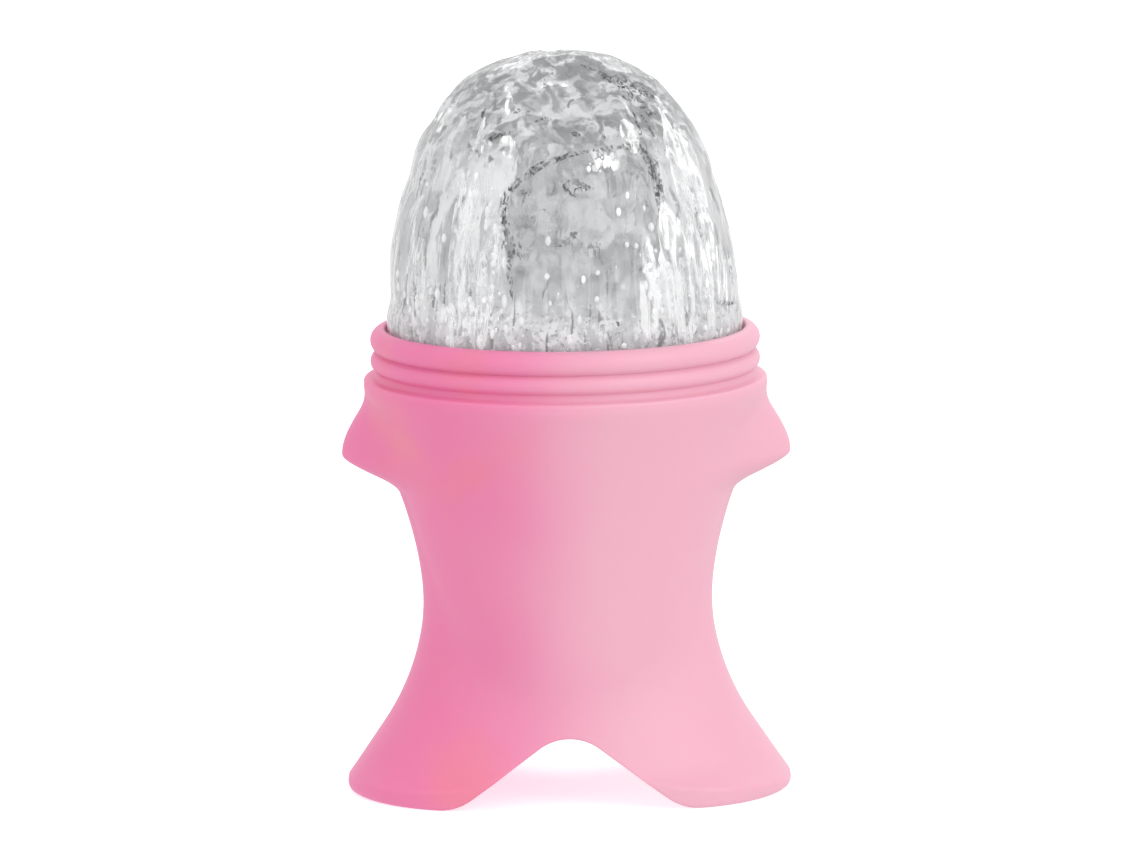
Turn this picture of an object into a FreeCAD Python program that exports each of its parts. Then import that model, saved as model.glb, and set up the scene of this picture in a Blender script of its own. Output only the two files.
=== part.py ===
"""Ice massage cup: a soft silicone holder with a block of ice frozen into it.

The holder is one silicone moulding. A tapered cup with a beaded neck stands on two broad feet that leave an
arch between them, and an arm sticks out of each side below the neck, so that fingers sit between the arms and
the feet. The ice fills the cup and stands out of it as the dome that is rubbed on the skin.

Frame: millimetres, +Z up, X across the arms, origin on the ground at the middle of the feet.
"""

import FreeCAD, Part

import math
import os

import Sketcher

Vector = FreeCAD.Vector

# Driving dimensions in millimetres and degrees, under the names that every expression uses.
SIZES = {
    # the cup, a solid of revolution
    "core_foot_radius": 18.4,
    "core_curve": 190.0,
    "shoulder_radius": 32.6,
    "shoulder_height": 66.0,
    "shoulder_top": 67.6,
    "shoulder_lip_radius": 30.9,
    "neck_radius": 30.3,
    "bead_reach": 31.5,
    "lower_bead_radius": 1.6,
    "lower_bead_height": 70.3,
    "rim_bead_radius": 2.0,
    "rim_bead_height": 73.7,
    # its cavity
    "floor_height": 15.6,
    "floor_radius": 15.6,
    "cavity_curve": 250.0,
    "cavity_shoulder_radius": 28.5,
    "mouth_radius": 29.0,
    "floor_fillet": 3.0,
    "mouth_fillet": 0.5,
    # legs, seen from the front
    "waist_reach": 23.4,
    "waist_height": 33.0,
    "waist_radius": 40.0,
    "leg_top": 50.8,
    "foot_reach": 37.3,
    "toe_radius": 2.2,
    # legs, seen from the side and from above
    "foot_half_width": 21.0,
    "lip_height": 4.0,
    "instep_radius": 24.0,
    "leg_half_width": 9.0,
    "leg_height": 26.0,
    "leg_top_half_width": 5.0,
    "plan_reach": 36.5,
    "leg_fillet": 2.0,
    # arms: blunt cones that point outwards and a little down
    "arm_reach": 37.35,
    "arm_height": 54.4,
    "arm_half_angle": 44.2,
    "arm_tilt": 70.0,
    "arm_length": 10.0,
    "arm_tip_radius": 3.0,
    # the arch between the feet
    "arch_height": 11.5,
    "arch_crown_radius": 8.0,
    "arch_slope_degrees": 36.5,
    "arch_foot_radius": 9.0,
    # the ice
    "ice_gap": 0.3,
    "ice_haunch_radius": 24.4,
    "ice_haunch_height": 100.2,
    "ice_side_curve": 89.0,
    "ice_shoulder_radius": 14.4,
    "ice_shoulder_height": 115.7,
    "ice_shoulder_curve": 26.6,
    "ice_crown_height": 120.0,
}
BEYOND = 20.0  # how far a cutting outline runs past the solid

# limits for telling edges apart and for testing a cut, in mm, mm3 and degrees
LEAST_CUT = 1.0
LEAST_RUN = 5.0
LEAST_ROUND = 50.0
ON_LINE = 0.01
NEAR_LINE = 0.5
NEAR_RADIUS = 0.1
ABOVE_SOLE = 0.3
BELOW_LEG_TOP = 0.5
SHARP_TURN = 12.0


def add_sizes(doc):
    """Put the driving dimensions in a spreadsheet, one aliased cell each."""
    sheet = doc.addObject("Spreadsheet::Sheet", "sizes")
    for row, (alias, value) in enumerate(SIZES.items(), start=1):
        sheet.set(f"A{row}", alias)
        sheet.set(f"B{row}", str(value))
        sheet.setAlias(f"B{row}", alias)
    doc.recompute()
    return sheet


def origin_plane(body, role):
    """Find one of a body's own origin planes, such as XZ_Plane."""
    return next(item for item in body.Origin.OriginFeatures if item.Role == role)


class Outline:
    """A closed sketch whose corners and arc radii are bound to expressions on the sheet."""

    def __init__(self, body, plane, name):
        self.sketch = body.newObject("Sketcher::SketchObject", name)
        self.sketch.AttachmentSupport = [(origin_plane(body, plane), "")]
        self.sketch.MapMode = "FlatFace"
        self.count = 0

    def value(self, expression):
        """Work an expression out now, as the starting place of what it will bind."""
        return float(self.sketch.evalExpression(expression))

    def bind(self, constraint, expression):
        """Add a dimension and bind it to its expression."""
        index = self.sketch.addConstraint(constraint)
        self.sketch.setExpression(f"Constraints[{index}]", expression)

    def loop(self, corners):
        """Join corners (x, y) into a closed loop; a third entry curves the side that leaves that corner.

        A positive radius puts the arc's centre on the left of the direction of travel.
        """
        points = [Vector(self.value(c[0]), self.value(c[1]), 0) for c in corners]
        for index, corner in enumerate(corners):
            start = points[index]
            end = points[(index + 1) % len(points)]
            curve = corner[2] if len(corner) > 2 else None
            if curve is None:
                self.sketch.addGeometry(Part.LineSegment(start, end), False)
            else:
                self.sketch.addGeometry(arc_between(start, end, self.value(curve)), False)
        total = len(corners)
        for index, corner in enumerate(corners):
            curve = corner[2] if len(corner) > 2 else None
            this = self.count + index
            after = self.count + (index + 1) % total
            backward = curve is not None and self.value(curve) < 0
            next_curve = corners[(index + 1) % total]
            next_backward = len(next_curve) > 2 and self.value(next_curve[2]) < 0
            end_vertex = 1 if backward else 2
            start_vertex = 2 if next_backward else 1
            joint = Sketcher.Constraint("Coincident", this, end_vertex, after, start_vertex)
            self.sketch.addConstraint(joint)
        for index, corner in enumerate(corners):
            this = self.count + index
            curve = corner[2] if len(corner) > 2 else None
            backward = curve is not None and self.value(curve) < 0
            vertex = 2 if backward else 1
            across = self.value(corner[0])
            along = self.value(corner[1])
            self.bind(Sketcher.Constraint("DistanceX", -1, 1, this, vertex, across), corner[0])
            self.bind(Sketcher.Constraint("DistanceY", -1, 1, this, vertex, along), corner[1])
            if curve is not None:
                radius = Sketcher.Constraint("Radius", this, abs(self.value(curve)))
                self.bind(radius, f"abs({curve})")
        self.count += total
        return self


def arc_between(start, end, radius):
    """Give the shorter arc from start to end, whose centre is on the left where radius is positive."""
    chord = end - start
    middle = (start + end) * 0.5
    left = Vector(-chord.y, chord.x, 0).normalize()
    rise = math.sqrt(radius**2 - (chord.Length / 2) ** 2)
    centre = middle + left * math.copysign(rise, radius)
    first, last = (start, end) if radius > 0 else (end, start)
    circle = Part.Circle(centre, Vector(0, 0, 1), abs(radius))
    from_angle = math.atan2(first.y - centre.y, first.x - centre.x)
    to_angle = math.atan2(last.y - centre.y, last.x - centre.x)
    return Part.ArcOfCircle(circle, from_angle, to_angle)


def mirrored(corners):
    """Give the loop's corners on the other side of the sketch's upright axis, in the same direction."""
    flipped = []
    for index in range(len(corners) - 1, -1, -1):
        across, along = corners[index][:2]
        curve = corners[index - 1][2:] if index > 0 else corners[-1][2:]
        flipped.append((f"-({across})", along, *curve))
    return flipped


def pad(body, name, outline, length):
    """Thicken an outline evenly to both sides of its plane."""
    feature = body.newObject("PartDesign::Pad", name)
    feature.Profile = outline.sketch
    feature.SideType = "Symmetric"
    feature.setExpression("Length", length)
    return feature


def pocket_through(doc, body, name, outline):
    """Cut an outline right through the solid, to both sides of its plane."""
    before = body.Shape.Volume
    feature = body.newObject("PartDesign::Pocket", name)
    feature.Profile = outline.sketch
    feature.SideType = "Symmetric"
    feature.Type = "ThroughAll"
    doc.recompute()
    if not body.Shape.Volume < before - LEAST_CUT:
        raise ValueError(f"{name} cuts nothing")
    return feature


def fillet(doc, body, name, chosen, radius):
    """Round the edges of the body's solid that the test chosen accepts."""
    base = body.Tip
    edges = [f"Edge{n}" for n, edge in enumerate(base.Shape.Edges, start=1) if chosen(edge)]
    feature = body.newObject("PartDesign::Fillet", name)
    feature.Base = (base, edges)
    feature.setExpression("Radius", radius)
    doc.recompute()
    return feature


def runs_across(edge):
    """Say whether an edge is straight and lies along Y."""
    start, end = (vertex.Point for vertex in edge.Vertexes[:2])
    drift = math.hypot(end.x - start.x, end.z - start.z)
    return abs(end.y - start.y) > LEAST_RUN and drift < ON_LINE


def near_line(edge, across, height):
    """Say whether an edge along Y passes the point (across, height) on either side."""
    point = edge.CenterOfMass
    return runs_across(edge) and math.hypot(abs(point.x) - across, point.z - height) < NEAR_LINE


def is_sharp(shape, edge):
    """Say whether the two faces at an edge turn by more than SHARP_TURN there."""
    faces = shape.ancestorsOfType(edge, Part.Face)
    if len(faces) != 2:
        return False
    middle = edge.valueAt((edge.FirstParameter + edge.LastParameter) / 2)
    normals = [face.normalAt(*face.Surface.parameter(middle)) for face in faces]
    return math.degrees(normals[0].getAngle(normals[1])) > SHARP_TURN


# The leg leaves the toe as the tangent to the waist's arc, so its upper end follows from both.
CURVE_MIDDLE = "(sizes.waist_reach + sizes.waist_radius)"
TOE_TO_MIDDLE = f"sqrt(({CURVE_MIDDLE} - sizes.foot_reach)^2 + sizes.waist_height^2)"
LEG_LENGTH = f"sqrt({TOE_TO_MIDDLE}^2 - sizes.waist_radius^2)"
LEG_LEAN = (
    f"(atan2(sizes.waist_height; {CURVE_MIDDLE} - sizes.foot_reach)"
    f" + asin(sizes.waist_radius / {TOE_TO_MIDDLE}))"
)
LEG_TOP_REACH = f"{CURVE_MIDDLE} - sqrt(sizes.waist_radius^2 - (sizes.leg_top - sizes.waist_height)^2)"


def add_legs(doc, body):
    """Make both legs and feet as one broad slab, shaped from the front, the side and above."""
    right = [
        ("sizes.foot_reach", "0"),
        (
            f"sizes.foot_reach + {LEG_LENGTH} * cos({LEG_LEAN})",
            f"{LEG_LENGTH} * sin({LEG_LEAN})",
            "-sizes.waist_radius",
        ),
        (LEG_TOP_REACH, "sizes.leg_top"),
    ]
    front = Outline(body, "XZ_Plane", "leg_front").loop(right + mirrored(right))
    pad(body, "leg_slab", front, "2 * sizes.foot_half_width")
    doc.recompute()
    fillet(
        doc,
        body,
        "toes",
        lambda edge: near_line(edge, SIZES["foot_reach"], 0.0),
        "sizes.toe_radius",
    )

    beyond = f"sizes.foot_half_width + {BEYOND}"
    beside = [
        ("sizes.foot_half_width", f"-{BEYOND}"),
        (beyond, f"-{BEYOND}"),
        (beyond, f"sizes.leg_top + {BEYOND}"),
        ("sizes.leg_top_half_width", f"sizes.leg_top + {BEYOND}"),
        ("sizes.leg_top_half_width", "sizes.leg_top"),
        ("sizes.leg_half_width", "sizes.leg_height", "sizes.instep_radius"),
        ("sizes.foot_half_width", "sizes.lip_height"),
    ]
    side = Outline(body, "YZ_Plane", "leg_side").loop(beside).loop(mirrored(beside))
    pocket_through(doc, body, "leg_sides", side)

    straight = "sizes.plan_reach - sizes.foot_half_width"
    edge = f"sizes.plan_reach + {BEYOND}"
    around = [
        (edge, f"-({edge})"),
        (edge, edge),
        (f"-({edge})", edge),
        (f"-({edge})", f"-({edge})"),
    ]
    kept = [
        (straight, "-sizes.foot_half_width", "sizes.foot_half_width"),
        ("sizes.plan_reach", "0", "sizes.foot_half_width"),
        (straight, "sizes.foot_half_width"),
        (f"-({straight})", "sizes.foot_half_width", "sizes.foot_half_width"),
        ("-sizes.plan_reach", "0", "sizes.foot_half_width"),
        (f"-({straight})", "-sizes.foot_half_width"),
    ]
    plan = Outline(body, "XY_Plane", "sole_plan").loop(around).loop(kept)
    pocket_through(doc, body, "leg_ends", plan)

    slab = body.Tip.Shape
    top = SIZES["leg_top"] - BELOW_LEG_TOP
    fillet(
        doc,
        body,
        "leg_edges",
        lambda edge: ABOVE_SOLE < edge.CenterOfMass.z < top and is_sharp(slab, edge),
        "sizes.leg_fillet",
    )


def add_arms(doc, body):
    """Add the two arms, each a cone with a round tip whose root lies inside the cup's wall."""
    slope = "sizes.arm_half_angle"
    ball = f"sizes.arm_tip_radius / sin({slope})"
    profile = [
        ("0", "sizes.arm_length"),
        ("0", f"{ball} - sizes.arm_tip_radius", "sizes.arm_tip_radius"),
        (f"sizes.arm_tip_radius * cos({slope})", f"{ball} - sizes.arm_tip_radius * sin({slope})"),
        (f"sizes.arm_length * tan({slope})", "sizes.arm_length"),
    ]
    outline = Outline(body, "XZ_Plane", "arm_profile")
    sketch = outline.sketch
    turned = FreeCAD.Rotation(Vector(0, 0, 1), SIZES["arm_tilt"])
    sketch.AttachmentOffset = FreeCAD.Placement(Vector(), turned)
    sketch.setExpression("AttachmentOffset.Base.x", "sizes.arm_reach")
    sketch.setExpression("AttachmentOffset.Base.y", "sizes.arm_height")
    sketch.setExpression("AttachmentOffset.Rotation.Angle", "sizes.arm_tilt")
    arm = revolve(body, "Revolution", "right_arm", outline.loop(profile))
    doc.recompute()
    left = body.newObject("PartDesign::Mirrored", "left_arm")
    left.Originals = [arm]
    left.MirrorPlane = (origin_plane(body, "YZ_Plane"), [""])
    body.Tip = left
    doc.recompute()


def revolve(body, kind, name, outline):
    """Turn an outline right round the upright axis, as a Revolution that adds or a Groove that cuts."""
    feature = body.newObject(f"PartDesign::{kind}", name)
    feature.Profile = outline.sketch
    feature.ReferenceAxis = (outline.sketch, ["V_Axis"])
    feature.Angle = 360
    return feature


def bead_side(bead, direction, wall):
    """Give the height at which a bead round the neck meets the radius wall, above or below its middle."""
    inset = f"({wall} - sizes.bead_reach + sizes.{bead}_radius)"
    return f"sizes.{bead}_height {direction} sqrt(sizes.{bead}_radius^2 - {inset}^2)"


RIM_TOP = "sizes.rim_bead_height + sizes.rim_bead_radius"


def add_cup(doc, body):
    """Add the tapered cup with its shoulder and the two beads round its neck."""
    profile = [
        ("0", "0"),
        ("sizes.core_foot_radius", "0", "-sizes.core_curve"),
        ("sizes.shoulder_radius", "sizes.shoulder_height"),
        ("sizes.shoulder_radius", "sizes.shoulder_top"),
        (
            "sizes.shoulder_lip_radius",
            bead_side("lower_bead", "-", "sizes.shoulder_lip_radius"),
            "sizes.lower_bead_radius",
        ),
        ("sizes.neck_radius", bead_side("lower_bead", "+", "sizes.neck_radius")),
        ("sizes.neck_radius", bead_side("rim_bead", "-", "sizes.neck_radius"), "sizes.rim_bead_radius"),
        ("sizes.bead_reach - sizes.rim_bead_radius", RIM_TOP),
        ("0", RIM_TOP),
    ]
    revolve(body, "Revolution", "tapered_cup", Outline(body, "XZ_Plane", "cup_profile").loop(profile))
    doc.recompute()


def add_cavity(doc, body):
    """Hollow the cup out, wider towards its mouth so that the ice slides free."""
    inside = [
        ("0", "sizes.floor_height"),
        ("sizes.floor_radius", "sizes.floor_height", "-sizes.cavity_curve"),
        ("sizes.cavity_shoulder_radius", "sizes.shoulder_height"),
        ("sizes.mouth_radius", RIM_TOP),
        ("sizes.mouth_radius", f"{RIM_TOP} + {BEYOND}"),
        ("0", f"{RIM_TOP} + {BEYOND}"),
    ]
    before = body.Shape.Volume
    revolve(body, "Groove", "cavity", Outline(body, "XZ_Plane", "cavity_profile").loop(inside))
    doc.recompute()
    if not body.Shape.Volume < before - LEAST_CUT:
        raise ValueError("the cavity cuts nothing")


def add_arch(doc, body):
    """Cut the arch between the feet, which runs right through from front to back."""
    slope = "sizes.arch_slope_degrees"
    crown_end = f"sizes.arch_crown_radius * sin({slope})"
    crown_end_height = f"(sizes.arch_height - sizes.arch_crown_radius * (1 - cos({slope})))"
    ground = f"({crown_end} + {crown_end_height} / tan({slope}))"
    turn = f"(sizes.arch_foot_radius * tan({slope} / 2))"
    half = [
        (f"{ground} + {turn}", f"-{BEYOND}"),
        (f"{ground} + {turn}", "0", "-sizes.arch_foot_radius"),
        (f"{ground} - {turn} * cos({slope})", f"{turn} * sin({slope})"),
        (crown_end, crown_end_height, "sizes.arch_crown_radius"),
    ]
    other = [(f"-({across})", height) for across, height, *curve in reversed(half)]
    other[1] = (*other[1], "-sizes.arch_foot_radius")
    pocket_through(doc, body, "arch", Outline(body, "XZ_Plane", "arch_front").loop(half + other))


def circle_at(height):
    """Make the test for a full circle round the upright axis at a height."""

    def chosen(edge):
        point = edge.CenterOfMass
        centred = math.hypot(point.x, point.y) < ON_LINE
        return centred and abs(point.z - height) < ON_LINE and edge.Length > LEAST_ROUND

    return chosen


def build_cup(doc):
    """Make the silicone holder, one moulding."""
    body = doc.addObject("PartDesign::Body", "silicone_cup")
    body.Label = "silicone_cup"
    add_legs(doc, body)
    add_cup(doc, body)
    add_arms(doc, body)
    add_cavity(doc, body)
    fillet(doc, body, "cavity_floor_edge", circle_at(SIZES["floor_height"]), "sizes.floor_fillet")
    rim_top = SIZES["rim_bead_height"] + SIZES["rim_bead_radius"]
    mouth = circle_at(rim_top)
    radius = SIZES["mouth_radius"]
    fillet(
        doc,
        body,
        "mouth_edge",
        lambda edge: mouth(edge) and abs(edge.Length / (2 * math.pi) - radius) < NEAR_RADIUS,
        "sizes.mouth_fillet",
    )
    add_arch(doc, body)
    body.Placement = FreeCAD.Placement()
    return body


def build_ice(doc):
    """Make the ice: it fills the cavity with a small gap all round and rises out of it as a dome."""
    body = doc.addObject("PartDesign::Body", "ice_block")
    body.Label = "ice_block"
    rise = "(sizes.ice_crown_height - sizes.ice_shoulder_height)"
    crown = f"(sizes.ice_shoulder_radius^2 + {rise}^2) / (2 * {rise})"
    bottom = "sizes.floor_height + sizes.ice_gap"
    profile = [
        ("0", bottom),
        ("sizes.floor_radius - sizes.ice_gap", bottom, "-sizes.cavity_curve"),
        ("sizes.cavity_shoulder_radius - sizes.ice_gap", "sizes.shoulder_height"),
        ("sizes.mouth_radius - sizes.ice_gap", RIM_TOP, "sizes.ice_side_curve"),
        ("sizes.ice_haunch_radius", "sizes.ice_haunch_height", "sizes.ice_shoulder_curve"),
        ("sizes.ice_shoulder_radius", "sizes.ice_shoulder_height", crown),
        ("0", "sizes.ice_crown_height"),
    ]
    revolve(body, "Revolution", "frozen_water", Outline(body, "XZ_Plane", "ice_profile").loop(profile))
    doc.recompute()
    bottom_height = SIZES["floor_height"] + SIZES["ice_gap"]
    fillet(doc, body, "ice_bottom_edge", circle_at(bottom_height), "sizes.floor_fillet")
    body.Placement = FreeCAD.Placement()
    return body


def check(doc, bodies):
    """Stop if any object of the document has failed or a sub-part isn't one sound solid."""
    failed = [item.Name for item in doc.Objects if "Invalid" in item.State or "Error" in item.State]
    if failed:
        raise ValueError(f"failed objects: {failed}")
    for body in bodies:
        if body.Shape.isNull() or not body.Shape.isValid() or len(body.Shape.Solids) != 1:
            raise ValueError(f"{body.Label} isn't one valid solid")


def main():
    """Build both pieces and write them to parts/."""
    doc = FreeCAD.newDocument("ice_massage_cup")
    add_sizes(doc)
    bodies = [build_cup(doc), build_ice(doc)]
    doc.recompute()
    check(doc, bodies)
    os.makedirs("parts", exist_ok=True)
    for body in bodies:
        body.Shape.exportStep(f"parts/{body.Label}.step")
        print(f"{body.Label}: {body.Shape.Volume / 1000:.2f} cm3")


main()
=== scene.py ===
"""Looks of the ice massage cup: a pink silicone holder with a domed block of ice frozen into it.

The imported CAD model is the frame. The holder and the ice are rebuilt here as smooth closed meshes inside the
boxes of the CAD nodes they replace, and are dressed with procedural finishes. Sizes in the classes are in
millimetres, and meshes are in metres.
"""

import logging
import math
from dataclasses import dataclass, field
from enum import Enum
from typing import Callable, Iterable, Union

import bmesh
import bpy
import numpy as np
from mathutils import Matrix, Vector, noise


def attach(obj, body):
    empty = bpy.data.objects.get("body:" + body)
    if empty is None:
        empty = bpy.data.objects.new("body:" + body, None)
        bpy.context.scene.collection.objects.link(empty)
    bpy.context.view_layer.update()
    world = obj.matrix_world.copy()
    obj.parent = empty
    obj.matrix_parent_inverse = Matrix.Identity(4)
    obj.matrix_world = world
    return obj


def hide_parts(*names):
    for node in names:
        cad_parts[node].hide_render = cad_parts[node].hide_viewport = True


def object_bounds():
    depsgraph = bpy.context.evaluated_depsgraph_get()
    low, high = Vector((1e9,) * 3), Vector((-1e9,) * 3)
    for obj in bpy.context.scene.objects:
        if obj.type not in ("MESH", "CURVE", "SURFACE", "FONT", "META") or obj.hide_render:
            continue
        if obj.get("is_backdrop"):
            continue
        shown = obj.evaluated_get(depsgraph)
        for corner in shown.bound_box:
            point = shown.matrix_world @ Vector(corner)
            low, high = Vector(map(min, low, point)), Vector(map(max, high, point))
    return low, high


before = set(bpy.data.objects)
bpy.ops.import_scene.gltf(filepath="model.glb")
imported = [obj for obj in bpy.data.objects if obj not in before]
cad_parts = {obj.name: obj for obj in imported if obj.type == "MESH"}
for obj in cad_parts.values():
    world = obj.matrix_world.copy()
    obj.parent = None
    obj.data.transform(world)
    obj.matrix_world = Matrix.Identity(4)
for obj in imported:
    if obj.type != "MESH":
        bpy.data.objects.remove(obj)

CAD_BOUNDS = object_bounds()
MM = 0.001
LOG = logging.getLogger("ice_massage_cup")

Array = np.ndarray
Station = tuple[float, float]
Colour = tuple[float, float, float]


class Body(Enum):
    """The CAD bodies that pieces ride on."""

    CUP = "cup"
    ICE = "ice"


class Slot(Enum):
    """The record's material slots."""

    SILICONE = "silicone"
    ICE = "ice"


# ---------------------------------------------------------------------------------------------------------
# Curves and grids


def smooth_max(first: Array, second: Array, width: float | Array) -> Array:
    """Take the larger of two values, rounding the change from one to the other.

    Args:
        first: One set of values.
        second: The other set.
        width: The difference within which the two melt together.

    Returns:
        The rounded maximum.
    """
    melt = np.maximum(width - np.abs(first - second), 0.0) / width
    return np.maximum(first, second) + melt**2 * width / 4


def smooth_min(first: Array, second: Array, width: float) -> Array:
    """Take the smaller of two values, rounding the change; the mirror of smooth_max."""
    return -smooth_max(-np.asarray(first), -np.asarray(second), width)


def ease(low: float, high: float, value: Array) -> Array:
    """Rise smoothly from 0 at low to 1 at high."""
    share = np.clip((value - low) / (high - low), 0.0, 1.0)
    return share * share * (3 - 2 * share)


def arc(middle: Station, radius: float, start: float, end: float, count: int) -> list[Station]:
    """List points along an arc in the radius and height plane.

    Args:
        middle: The arc's centre.
        radius: Its radius.
        start: The first angle in degrees, from straight outwards.
        end: The last angle.
        count: How many steps to take.

    Returns:
        Points from the first angle to the last, both included.
    """
    angles = np.radians(np.linspace(start, end, count + 1))
    return [(middle[0] + radius * math.cos(a), middle[1] + radius * math.sin(a)) for a in angles]


def bow(start: Station, end: Station, rise: float, count: int) -> list[Station]:
    """List points along a shallow bow from start to end, both included.

    Args:
        start: The first point.
        end: The last point.
        rise: How far the bow's middle stands off its chord, to the right of the way it runs.
        count: How many steps to take.

    Returns:
        The points.
    """
    first, last = np.array(start), np.array(end)
    run = last - first
    right = np.array([run[1], -run[0]]) / np.hypot(*run)
    return [tuple(first + run * t + right * rise * 4 * t * (1 - t)) for t in np.linspace(0, 1, count + 1)]


def without_repeats(stations: Iterable[Station]) -> list[Station]:
    """Drop each station that repeats the one before it."""
    kept: list[Station] = []
    for station in stations:
        if not kept or math.dist(kept[-1], station) > 1e-4:
            kept.append(station)
    return kept


def rolled_grid(rows: int, steps: int, surface: Callable[[Array, Array], Array]) -> bmesh.types.BMesh:
    """Roll a grid round the axis on to a surface, and close its seam and poles.

    Args:
        rows: How many rows the grid has.
        steps: How many columns it has round the axis.
        surface: Takes each vertex's row and angle and gives its place in millimetres.

    Returns:
        The closed surface as a new bmesh, facing outwards.
    """
    mesh = bmesh.new()
    bmesh.ops.create_grid(mesh, x_segments=steps, y_segments=rows - 1, size=1.0)
    flat = np.array([vert.co for vert in mesh.verts])
    row = np.rint((flat[:, 1] + 1) / 2 * (rows - 1)).astype(int)
    for vert, place in zip(mesh.verts, surface(row, flat[:, 0] * math.pi) * MM):
        vert.co = place
    bmesh.ops.remove_doubles(mesh, verts=mesh.verts, dist=0.004 * MM)
    bmesh.ops.recalc_face_normals(mesh, faces=mesh.faces)
    return mesh


def to_object(mesh: bmesh.types.BMesh, name: str, crease: float = 180.0) -> bpy.types.Object:
    """Turn a bmesh into a smooth-shaded object at the origin.

    Args:
        mesh: The shape, which is used up.
        name: The object's name.
        crease: The angle in degrees above which an edge stays sharp.

    Returns:
        The object.
    """
    data = bpy.data.meshes.new(name)
    mesh.to_mesh(data)
    mesh.free()
    data.shade_smooth()
    data.set_sharp_from_angle(angle=math.radians(crease))
    piece = bpy.data.objects.new(name, data)
    bpy.context.scene.collection.objects.link(piece)
    return piece


def settle(piece: bpy.types.Object, body: Body, slot: Slot) -> bpy.types.Object:
    """Let a piece ride on its body, and report it."""
    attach(piece, body.value)
    LOG.info("%s: %d faces, on %s", piece.name, len(piece.data.polygons), body.value)
    return piece


# ---------------------------------------------------------------------------------------------------------
# Shader nodes


class Value:
    """A number in a material. Python's operators on it add Math nodes."""

    def __init__(self, graph: "Graph", socket: bpy.types.NodeSocket) -> None:
        """Wrap an output socket."""
        self.graph = graph
        self.socket = socket

    def _math(self, operation: str, first: "Number", second: "Number" = 0.0) -> "Value":
        """Add one Math node.

        Args:
            operation: The node's operation.
            first: Its first input.
            second: Its second input.

        Returns:
            The node's result.
        """
        node = self.graph.node("ShaderNodeMath", {"operation": operation}, {0: first, 1: second})
        return Value(self.graph, node.outputs[0])

    def __add__(self, other: "Number") -> "Value":
        """Add."""
        return self._math("ADD", self, other)

    __radd__ = __add__

    def __sub__(self, other: "Number") -> "Value":
        """Take away."""
        return self._math("SUBTRACT", self, other)

    def __rsub__(self, other: "Number") -> "Value":
        """Take away, from the right."""
        return self._math("SUBTRACT", other, self)

    def __mul__(self, other: "Number") -> "Value":
        """Multiply."""
        return self._math("MULTIPLY", self, other)

    __rmul__ = __mul__

    def size(self) -> "Value":
        """Drop the sign."""
        return self._math("ABSOLUTE", self)

    def at_least(self, other: "Number") -> "Value":
        """Take the larger of the two."""
        return self._math("MAXIMUM", self, other)

    def at_most(self, other: "Number") -> "Value":
        """Take the smaller of the two."""
        return self._math("MINIMUM", self, other)

    def ease(self, low: float, high: float) -> "Value":
        """Rise smoothly from 0 at low to 1 at high, or fall if low is the larger.

        Args:
            low: Where the result is 0.
            high: Where the result is 1.

        Returns:
            The eased value.
        """
        down = low > high
        first, last = (high, low) if down else (low, high)
        inputs = {"Value": self, 1: first, 2: last, 3: float(down), 4: float(not down)}
        node = self.graph.node("ShaderNodeMapRange", {"interpolation_type": "SMOOTHSTEP"}, inputs)
        return Value(self.graph, node.outputs[0])


Number = Union[float, Value]


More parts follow.
